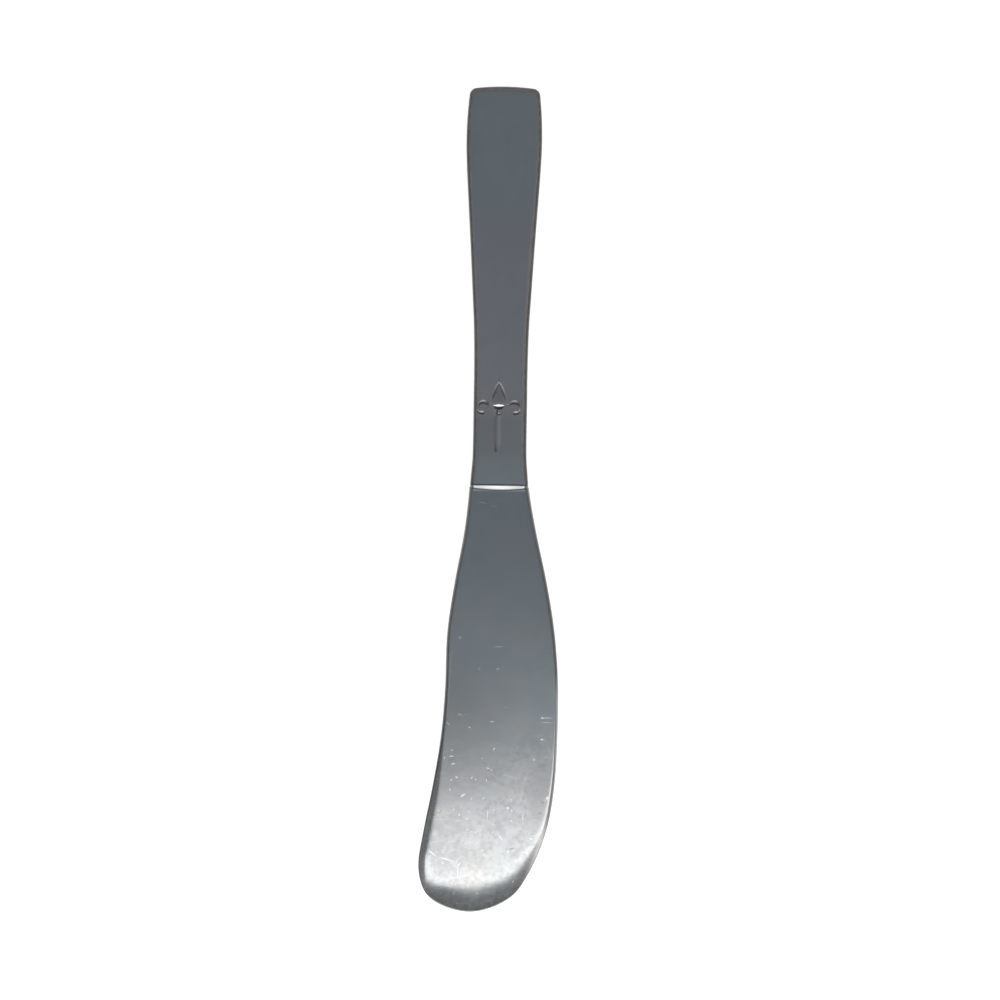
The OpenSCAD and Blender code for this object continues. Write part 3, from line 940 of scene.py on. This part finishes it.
@effect
def stray_scratches(
    place: VECTOR, cell_size: FLOAT, half_length: FLOAT, half_width: FLOAT, turn: FLOAT,
    presence: FLOAT,
):
    """Mask of short scratches strewn over a face, one or none in each cell. All in mm."""
    in_cells = add_node(
        place.tree, "ShaderNodeVectorMath", {0: place, "Scale": 1 / cell_size},
        operation="SCALE",
    )[0]
    cells = add_node(
        place.tree, "ShaderNodeTexVoronoi",
        {"Vector": in_cells, "Scale": 1.0, "Randomness": 1.0}, voronoi_dimensions="2D",
    )
    chance = add_node(place.tree, "ShaderNodeSeparateColor", {0: cells["Color"]})
    local = vector_maths("SUBTRACT", in_cells, cells["Position"])
    x, y, _ = split(turn_flat(local, (chance[0] - 0.5) * turn))
    along, across = abs(x) * cell_size, abs(y) * cell_size
    on_length = ~(along / (half_length * (chance[2] + 0.3))).ramp(0.6, 1)
    on_width = ~(across / half_width).ramp(0.3, 1)
    return {"Mask": on_length * on_width * (chance[1] < presence)}


@effect
def placed_mark(
    place: VECTOR, middle: VECTOR, angle: FLOAT, half_length: FLOAT, half_width: FLOAT,
    strength: FLOAT,
):
    """Mask of one scratch or dent at a given place, turned by a given angle. All in mm."""
    x, y, _ = split(turn_flat(vector_maths("SUBTRACT", place, middle), angle * -1))
    shares = add_node(
        place.tree, "ShaderNodeCombineXYZ", {0: x / half_length, 1: y / half_width}
    )[0]
    reach = vector_maths("LENGTH", shares, output="Value")
    return {"Mask": ~reach.ramp(0.35, 1) * strength}


@effect
def shoulder_shade_mask(place: VECTOR, facing: VECTOR):
    """Mask of painted shade on the rounded edges between the faces and the sides: the more a
    point leans, the darker it is painted, for dark surroundings mirrored there. Places are in mm."""
    lean = ~abs(split(facing)[2])
    leaning = (noise(place, 0.9, 3) * 0.12 + lean).ramp(0.13, 0.33)
    return {"Mask": leaning * ~lean.ramp(0.66, 0.86)}


@effect
def bevel_highlight_zone(place: VECTOR, foot: FLOAT, head: FLOAT, reach: FLOAT):
    """Mask of a painted highlight on the bolster's bevel, between two places along the knife. In
    mm.
    """
    x, y, _ = split(place)
    along = (y - foot).ramp(-0.4, 0) - (y - head).ramp(0, 0.2)
    return {"Mask": along * ~(abs(x) - reach).ramp(-0.1, 0.3)}


# Marks seen on the blade: across and along in mm, half length, half width, angle in
# degrees, strength
BLADE_MARKS = (
    (10.1, -86.0, 1.7, 0.13, 0, 0.6), (9.3, -86.0, 0.4, 0.22, 0, 0.9),
    (10.2, -86.9, 1.6, 0.12, 0, 0.45), (9.3, -90.3, 0.4, 0.22, 0, 0.75),
    (-0.7, -86.9, 0.6, 0.18, 0, 0.45), (0.4, -71.9, 1.4, 0.14, 0, 0.4),
    (-7.3, -70.2, 0.3, 0.4, 0, 0.35), (-3.4, -76.3, 0.25, 0.5, 0, 0.25),
    (0.3, -76.4, 0.5, 0.35, 0, 0.25), (-7.1, -85.5, 0.6, 0.2, -30, 0.3),
    (-9.4, -87.4, 0.6, 0.2, -50, 0.3), (-8.6, -92.7, 0.4, 0.16, 20, 0.45),
    (-8.7, -93.9, 0.7, 0.13, 0, 0.6), (-1.3, -96.2, 0.6, 0.16, -20, 0.45),
    (-9.3, -78.1, 9.0, 0.3, 87, 0.1),
    (-8.3, -95.4, 0.5, 0.22, 20, 0.6), (-6.3, -101.7, 0.75, 0.28, 35, 0.7),
    (10.5, -102.0, 0.5, 0.4, 60, 0.6), (2.7, -104.1, 0.3, 0.28, 0, 0.8),
    (-7.6, -98.1, 0.4, 0.25, 130, 0.5), (7.4, -110.2, 0.45, 0.3, 0, 0.6),
    (2.9, -112.8, 0.3, 0.28, 0, 0.7), (-12.2, -113.4, 1.4, 0.16, -38, 0.9),
    (-9.2, -114.6, 2.0, 0.18, -16, 0.9), (-6.9, -115.6, 0.8, 0.15, 50, 0.8),
    (-7.1, -117.0, 1.2, 0.10, 88, 0.7), (-7.0, -105.6, 0.4, 0.2, 80, 0.5),
    (1.3, -110.0, 1.0, 0.15, -50, 0.6), (-1.3, -105.5, 1.5, 0.10, 88, 0.5),
    (5.7, -105.9, 1.0, 0.12, 85, 0.4),
    (-3.2, -43.3, 1.3, 0.10, -8, 0.5), (-0.9, -43.9, 1.0, 0.08, -14, 0.35),
    (-4.5, -109.0, 2.6, 0.08, 3, 0.4), (-10.5, -106.5, 1.6, 0.08, 0, 0.4),
    (-6.2, -123.4, 2.4, 0.11, -1, 0.3), (-1.2, -122.9, 1.6, 0.13, 13, 0.35),
)
# Pits that have darkened, in the same terms
BLADE_PITS = (
    (-0.7, -86.2, 0.5, 0.14, 0, 0.4), (9.2, -105.0, 0.6, 0.2, 25, 0.35),
    (9.6, -102.9, 0.5, 0.16, -30, 0.35), (3.6, -112.2, 0.7, 0.2, 10, 0.3),
    (-8.5, -94.6, 1.1, 0.07, 0, 0.3),
)


def new_material(name):
    """Makes an empty node material and returns it with its tree and shader."""
    material = bpy.data.materials.new(name)
    material.use_nodes = True
    tree = material.node_tree
    tree.nodes.clear()
    shader = tree.nodes.new("ShaderNodeBsdfPrincipled")
    output = tree.nodes.new("ShaderNodeOutputMaterial")
    tree.links.new(shader.outputs[0], output.inputs[0])
    return material, tree, shader


def in_millimetres(tree):
    """Object coordinates in millimetres, and the surface's own direction."""
    source = add_node(tree, "ShaderNodeTexCoord")
    return vector_maths("MULTIPLY", source["Object"], (1 / MM,) * 3), source["Normal"]


def relief(height):
    """The surface's direction with its relief, from heights in mm."""
    return add_node(
        height.tree, "ShaderNodeBump", {"Strength": 1.0, "Distance": MM, "Height": height}
    )[0]


def placed_marks(place, spots):
    """One mask of all the spots in a table. Each spot joins the mask as soon as it is made,
    because Cycles has no room for many separate ones."""
    mask = 0.0
    for x, y, long, wide, angle, strength in spots:
        spot = placed_mark(
            place, middle=(x, y, 0), angle=math.radians(angle), half_length=long,
            half_width=wide, strength=strength,
        )
        mask = spot["Mask"] | mask
    return mask


def finish_steel(
    shader, finish, rough, place, satin, smudges_and_shade, marks, polish, shoulders, grime,
    handled=None,
):
    """Wires the steel's drift, its masks and its relief into the shader. The relief has no
    marks in it: Cycles works out a relief three times, and has no room for so many marks
    three times over."""
    colour = tone_drift(
        place, clean=(*finish.steel, 1), cool=(*finish.cool, 1), warm=(*finish.warm, 1)
    )["Colour"]
    # Painted light among these masks: the shoulders paint shade, the polish mask paints
    # highlights, and the darkest colour paints shade in creases and strokes besides the real
    # pits.
    for mask, tone in (
        (handled, finish.handled), (smudges_and_shade, finish.smudge), (marks | polish, finish.bright),
        (shoulders, finish.shoulder), (grime, finish.grime),
    ):
        if mask is not None:
            colour = mix_colours(mask, colour, tone)
    spread = 0.06
    hazy = satin["Haze"] * spread + (rough - spread / 2)
    feed(shader, {
        "Base Color": colour, "Roughness": (marks | grime) * finish.dulling + hazy,
        "Metallic": 1, "Normal": relief(satin["Height"]),
    })


def blade_steel(scene):
    """Worn satin steel of the blade, scratched most towards the tip. Most ramps run between
    two places in mm, x across the blade or y along it."""
    finish, blade, handle = scene.knife_finish, scene.knife_blade, scene.knife_handle
    material, tree, shader = new_material("blade_satin_steel")
    place, facing = in_millimetres(tree)
    x, y, z = split(place)
    satin = satin_polish(
        place, line_stretch=(0.35, 5.0, 1.0), line_depth=0.0003, patch_size=2.4,
        patch_depth=0.006,
    )
    used = y.ramp(-78, -108)
    specks = stray_scratches(
        place, cell_size=2.1, half_length=0.28, half_width=0.14, turn=6.0,
        presence=used * 0.4,
    )["Mask"]
    hairs = stray_scratches(
        place, cell_size=4.3, half_length=1.8, half_width=0.07, turn=0.9,
        presence=used * 0.45 + 0.12,
    )["Mask"]
    marks = specks * 0.5 | hairs * 0.16 | placed_marks(place, BLADE_MARKS)
    on_top = z.ramp(1.0, 1.6) | 0.6

    head, foot = (mouth_y(handle) - blade.collar) / MM, nose_y(blade, handle, 0) / MM
    half_heel = blade.heel_width / 2 / MM
    out_share = x / half_heel
    from_nose = abs(y - (out_share * out_share * (blade.bevel_bow / MM) + foot))
    # Painted highlight on the bolster's bevel.
    bevel = bevel_highlight_zone(place, foot=foot, head=head, reach=half_heel - 0.9)["Mask"]
    belly = y.ramp(-76, -84) * x.ramp(2, 7)
    keen = belly * y.ramp(-118, -110)
    up = split(facing)[2]
    # Painted highlight along the belly's leaning rim near the tip.
    belly_rim_highlight = up.ramp(0.99, 0.95, 0, 0.8) * belly * y.ramp(-120, -114) * y.ramp(-105, -111)
    # The painted shade on the shoulders is left off the bevel and eased on the belly near the
    # tip.
    shoulders = shoulder_shade_mask(place, facing=facing)["Mask"] * ~bevel * (1 - keen * 0.5)
    clouds = worn_smudges(place, broad_size=4.0, small_size=1.0)["Mask"] * (used * 0.9 + 0.1)
    # Painted shade: the blade is drawn darker towards the spine's side over its middle.
    spine_side_shade = x.ramp(9, -11) * y.ramp(-66, -84) * y.ramp(-108, -100)
    # Darker over a band of the belly's side towards the tip.
    darker_belly_band = x.ramp(5, 9, 0, 0.9) * y.ramp(-93, -100) * y.ramp(-112, -106)
    finish_steel(
        shader, finish, finish.blade_rough, place, satin,
        smudges_and_shade=clouds | spine_side_shade | darker_belly_band, marks=marks * on_top,
        # The polish mask here is painted highlights on the bevel and the belly's rim.
        polish=bevel | belly_rim_highlight, shoulders=shoulders,
        # A painted shadow line along the foot of the bolster's bevel, joined with the real
        # darkened pits.
        grime=from_nose.ramp(0.05, 0.3, 0.75, 0) | placed_marks(place, BLADE_PITS),
    )
    return material


def motif_masks(place, facing, handle, motif):
    """Three masks of the motif: what lies near it, painted shade in its strokes and painted
    highlights on their walls. A wall is told by its depth, its place and the way that it faces,
    which decides whether it is painted darker or lighter. Places and depths are in mm."""
    x, y, z = split(place)
    to_side, to_butt, _ = split(facing)
    half = handle.thick / 2 / MM
    sunk = half - abs(z - half)
    at, aside = (mouth_y(handle) + motif.at) / MM, motif.aside / MM
    reach_along, reach_across = 11, 4.3
    near = (abs(y - at) < reach_along) * (abs(x) < reach_across)
    from_middle = abs(x + aside)
    off_crescent = from_middle.ramp(0.85, 1.2)
    above_stem = y.ramp(at - 2.1, at - 1.6)
    on_lancet = y.ramp(at + 0.6, at + 1)
    on_stem = ~above_stem * sunk.ramp(0.01, 0.03)

    up_lancet = (y - at) / (motif.lancet / MM)
    half_lancet = ~up_lancet * (motif.lancet_width / 2 / MM)
    in_lancet = (half_lancet - from_middle).ramp(-0.2, 0.3, 0, 0.28)
    # A painted glint on the lancet's right wall; the rest of the lancet, its deeper parts and its
    # inside get painted shade.
    lancet_glint = to_side.ramp(-0.02, -0.1) * on_lancet * (x > -aside)
    lancet_shade = (on_lancet - lancet_glint) * (sunk.ramp(0.005, 0.06, 0, 0.5) | in_lancet)
    # Painted shade on the stem's wall that faces the belly's side.
    stem_wall_shade = on_stem * to_side.ramp(0.03, 0.18, 0, 0.36)
    # Painted shade at the strokes' feet, on walls that face the butt, and on the scrolls' walls
    # that face the tip.
    stroke_foot_shade = sunk.ramp(0.13, 0.24, 0, 0.8) * (
        to_butt.ramp(-0.35, -0.15) | off_crescent * 0.5
    )
    butt_wall_shade = to_butt.ramp(0.15, 0.4) * (0.9 - off_crescent * 0.35)
    scroll_wall_shade = off_crescent * to_butt.ramp(-0.15, -0.4) * (
        y.ramp(at - 1.3, at - 0.7, 0.2, 0.5)
    )
    upper_stroke_shade = (stroke_foot_shade | butt_wall_shade | scroll_wall_shade) * above_stem
    # Painted highlights: the crescent's wall that faces the tip and the stem's wall that faces
    # the spine's side.
    crescent_highlight = to_butt.ramp(-0.3, -0.55) * ~on_lancet * (~off_crescent * 0.85)
    stem_wall_highlight = on_stem * to_side.ramp(-0.03, -0.18, 0, 0.3)
    polish = crescent_highlight | stem_wall_highlight | lancet_glint * 0.06
    return near, near * (lancet_shade | stem_wall_shade | upper_stroke_shade), near * polish


def handle_steel(scene):
    """Satin steel of the handle, with painted shade and painted highlights in the motif's
    strokes. Most ramps run between two places along the handle, in mm."""
    finish, handle, motif = scene.knife_finish, scene.knife_handle, scene.knife_motif
    material, tree, shader = new_material("handle_satin_steel")
    place, facing = in_millimetres(tree)
    y = split(place)[1]
    satin = satin_polish(
        place, line_stretch=(5.0, 0.3, 1.0), line_depth=0.0001, patch_size=5.0,
        patch_depth=0.006,
    )
    hairs = stray_scratches(
        place, cell_size=5.2, half_length=1.6, half_width=0.06, turn=2.6, presence=0.3
    )["Mask"]
    clouds = worn_smudges(place, broad_size=9.0, small_size=2.5)["Mask"]
    # Darker over a band of the neck near the mouth.
    darker_neck_band = y.ramp(-22, -28, 0, 0.6) * y.ramp(-37, -33)
    near, grime, polish = motif_masks(place, facing, handle, motif)
    finish_steel(
        shader, finish, finish.handle_rough, place, satin,
        # The polish mask here is the motif's painted highlights.
        smudges_and_shade=clouds * 0.22 | darker_neck_band, marks=hairs * 0.12, polish=polish,
        # Painted shade on the leaning shoulders, left off near the motif, and the motif's painted
        # shade.
        shoulders=shoulder_shade_mask(place, facing=facing)["Mask"] * ~near, grime=grime,
        handled=y.ramp(21, 9, 0, 0.9) * y.ramp(-37, -32),
    )
    return material


class KNIFE_OT_hidden_joining(bpy.types.Operator):
    """Finishes the braze in the seam and the cement round the tang, inside the handle"""

    bl_idname = "knife.hidden_joining"
    bl_label = "Hidden joining"

    def execute(self, context):
        finish = context.scene.knife_finish
        shade, lump_height = 0.7, 0.05
        for node_name, colour, metallic, roughness, grain in (
            ("seam_braze", finish.braze, 1, 0.42, 1.6),
            ("tang_cement", finish.cement, 0, 0.9, 3.0),
        ):
            material, tree, shader = new_material(node_name + "_finish")
            place, _ = in_millimetres(tree)
            lumps = noise(place, grain, 5, 0.6)
            feed(shader, {
                "Base Color": mix_colours(lumps, [c * shade for c in colour], colour),
                "Roughness": lumps * 0.15 + (roughness - 0.08),
                "Metallic": metallic, "Normal": relief(lumps * lump_height),
            })
            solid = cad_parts[node_name]
            solid.data.materials.clear()
            solid.data.materials.append(material)
        return {"FINISHED"}


# ---------------------------------------------------------------- stage


def panel_lamp(name, place, aim, size, glow, colour=(1, 1, 1)):
    """Hangs a rectangular lamp that glows evenly and faces a point."""
    wide, tall = size
    deselect_all()
    bpy.ops.object.light_add(type="AREA", location=place)
    lamp = bpy.context.object
    lamp.name = name
    lamp.rotation_euler = (Vector(aim) - Vector(place)).to_track_quat("-Z", "Y").to_euler()
    lamp.data.shape = "RECTANGLE"
    lamp.data.size, lamp.data.size_y = wide, tall
    lamp.data.energy = glow * math.pi * wide * tall
    lamp.data.color = colour
    return lamp


def floor_material():
    """Pale floor that shows white to the camera and to the steel, and keeps shadows."""
    material, tree, shader = new_material("pale_floor")
    path = add_node(tree, "ShaderNodeLightPath")
    seen = path["Is Camera Ray"] | path["Is Glossy Ray"] | path["Is Transmission Ray"]
    away = vector_maths("LENGTH", in_millimetres(tree)[0], output="Value")
    feed(shader, {
        "Base Color": (0.8, 0.8, 0.8, 1), "Roughness": 0.9, "Specular IOR Level": 0,
        "Emission Color": (1, 1, 1, 1), "Emission Strength": seen * away.ramp(150, 600, 0.6),
    })
    return material


def studio_world(studio):
    """Backdrop that the camera sees white, and a grey studio that the steel mirrors. The
    ramps run between two shares of a direction: x to the belly's side, y to the butt's end
    and rise upwards."""
    world = bpy.data.worlds.new("studio")
    world.use_nodes = True
    tree = world.node_tree
    tree.nodes.clear()
    x, y, rise = split(add_node(tree, "ShaderNodeTexCoord")["Generated"])
    path = add_node(tree, "ShaderNodeLightPath")
    white = path["Is Camera Ray"] | path["Is Glossy Ray"] * ~rise.ramp(0.02, 0.1)
    ceiling = mix_colours(y.ramp(-0.03, -0.15), studio.overhead, studio.glow)
    walls = mix_colours(rise.ramp(0.6, 0.3), studio.walls, studio.skirting)
    on_left = x.ramp(-0.1, -0.4) * y.ramp(0.06, -0.01)
    walls = mix_colours(on_left, walls, studio.left_wall)
    far_right = x.ramp(0.3, 0.6)
    walls = mix_colours(far_right * y.ramp(0.02, -0.12), walls, studio.right_wall)
    corner = far_right * y.ramp(-0.15, -0.35, 0, studio.corner_glow)
    walls = vector_maths("ADD", walls, corner)
    colour = mix_colours(rise.ramp(0.78, 0.93), walls, ceiling)
    colour = mix_colours(white, colour, studio.horizon)
    background = add_node(tree, "ShaderNodeBackground", {"Color": colour, "Strength": 1.0})
    add_node(tree, "ShaderNodeOutputWorld", {0: background[0]})
    return world


class KNIFE_OT_stage(bpy.types.Operator):
    """Lays the floor, hangs the lamps and sets up the camera and the backdrop"""

    bl_idname = "knife.stage"
    bl_label = "Stage"

    def execute(self, context):
        scene = context.scene
        studio, handle = scene.knife_studio, scene.knife_handle
        deselect_all()
        bpy.ops.mesh.primitive_circle_add(
            vertices=96, radius=3, fill_type="NGON", location=(0, 0, -0.05 * MM)
        )
        floor = context.object
        floor.name = "pale_floor"
        bpy.ops.object.transform_apply(location=True)
        floor.data.materials.append(floor_material())

        # Each lamp's place and the point that it faces, its size and colour, in metres
        panel_lamp("strip_lamp", (0.375, -0.463, 1.2), (0.375, -0.1, 0), (1.75, 0.312),
                   studio.strip_glow, (1, 0.98, 0.953))
        panel_lamp("band_lamp", (0.375, -0.5, 1.19), (0.375, -0.1, 0), (1.75, 0.22),
                   studio.band_glow, (1, 0.97, 0.86))
        panel_lamp("front_lamp", (0, -0.9, 0.32), (0, -0.1, 0.04), (0.85, 0.62),
                   studio.front_glow, (0.985, 1, 0.985))
        fill = panel_lamp("fill_lamp", (0, 0, 1.35), (0, 0, 0), (1.5, 1.5), studio.fill_glow)
        fill.visible_glossy = False

        scene.world = studio_world(studio)
        bpy.ops.object.camera_add(
            location=(studio.centre_x, studio.centre_y, handle.thick + studio.distance),
            rotation=(0, 0, studio.lean),
        )
        camera = context.object
        camera.name = "overhead_camera"
        camera.data.sensor_width = 36
        camera.data.lens = camera.data.sensor_width * studio.distance / studio.view_width
        camera.data.clip_end = 10
        scene.camera = camera
        scene.view_settings.view_transform = "Standard"
        return {"FINISHED"}


# ---------------------------------------------------------------- panel


class KNIFE_PT_sidebar(bpy.types.Panel):
    """Lists the knife's pieces and their sizes."""

    bl_idname = "KNIFE_PT_sidebar"
    bl_label = "Butter Knife"
    bl_space_type = "VIEW_3D"
    bl_region_type = "UI"
    bl_category = "Butter Knife"

    def draw(self, context):
        for title, settings in GROUPS.items():
            box = self.layout.box()
            box.label(text=settings.__doc__)
            group = getattr(context.scene, title)
            for name in settings.__annotations__:
                box.prop(group, name)
        for operator in OPERATORS:
            self.layout.operator(operator.bl_idname)


GROUPS = {
    "knife_handle": KnifeHandleSizes,
    "knife_blade": KnifeBladeSizes,
    "knife_motif": KnifeMotifSizes,
    "knife_finish": KnifeFinish,
    "knife_studio": KnifeStudio,
}
OPERATORS = (
    KNIFE_OT_handle_shells,
    KNIFE_OT_blade,
    KNIFE_OT_hidden_joining,
    KNIFE_OT_stage,
)
CLASSES = (*GROUPS.values(), *OPERATORS, KNIFE_PT_sidebar)


def register():
    """Registers the classes and hangs the settings on the scene."""
    for kind in CLASSES:
        bpy.utils.register_class(kind)
    for title, settings in GROUPS.items():
        setattr(bpy.types.Scene, title, PointerProperty(type=settings))


def unregister():
    """Takes the settings off the scene and unregisters the classes."""
    for title in GROUPS:
        delattr(bpy.types.Scene, title)
    for kind in reversed(CLASSES):
        bpy.utils.unregister_class(kind)


def main():
    register()
    bpy.ops.knife.handle_shells()
    bpy.ops.knife.blade()
    bpy.ops.knife.hidden_joining()
    bpy.ops.knife.stage()


if __name__ == "__main__":
    main()
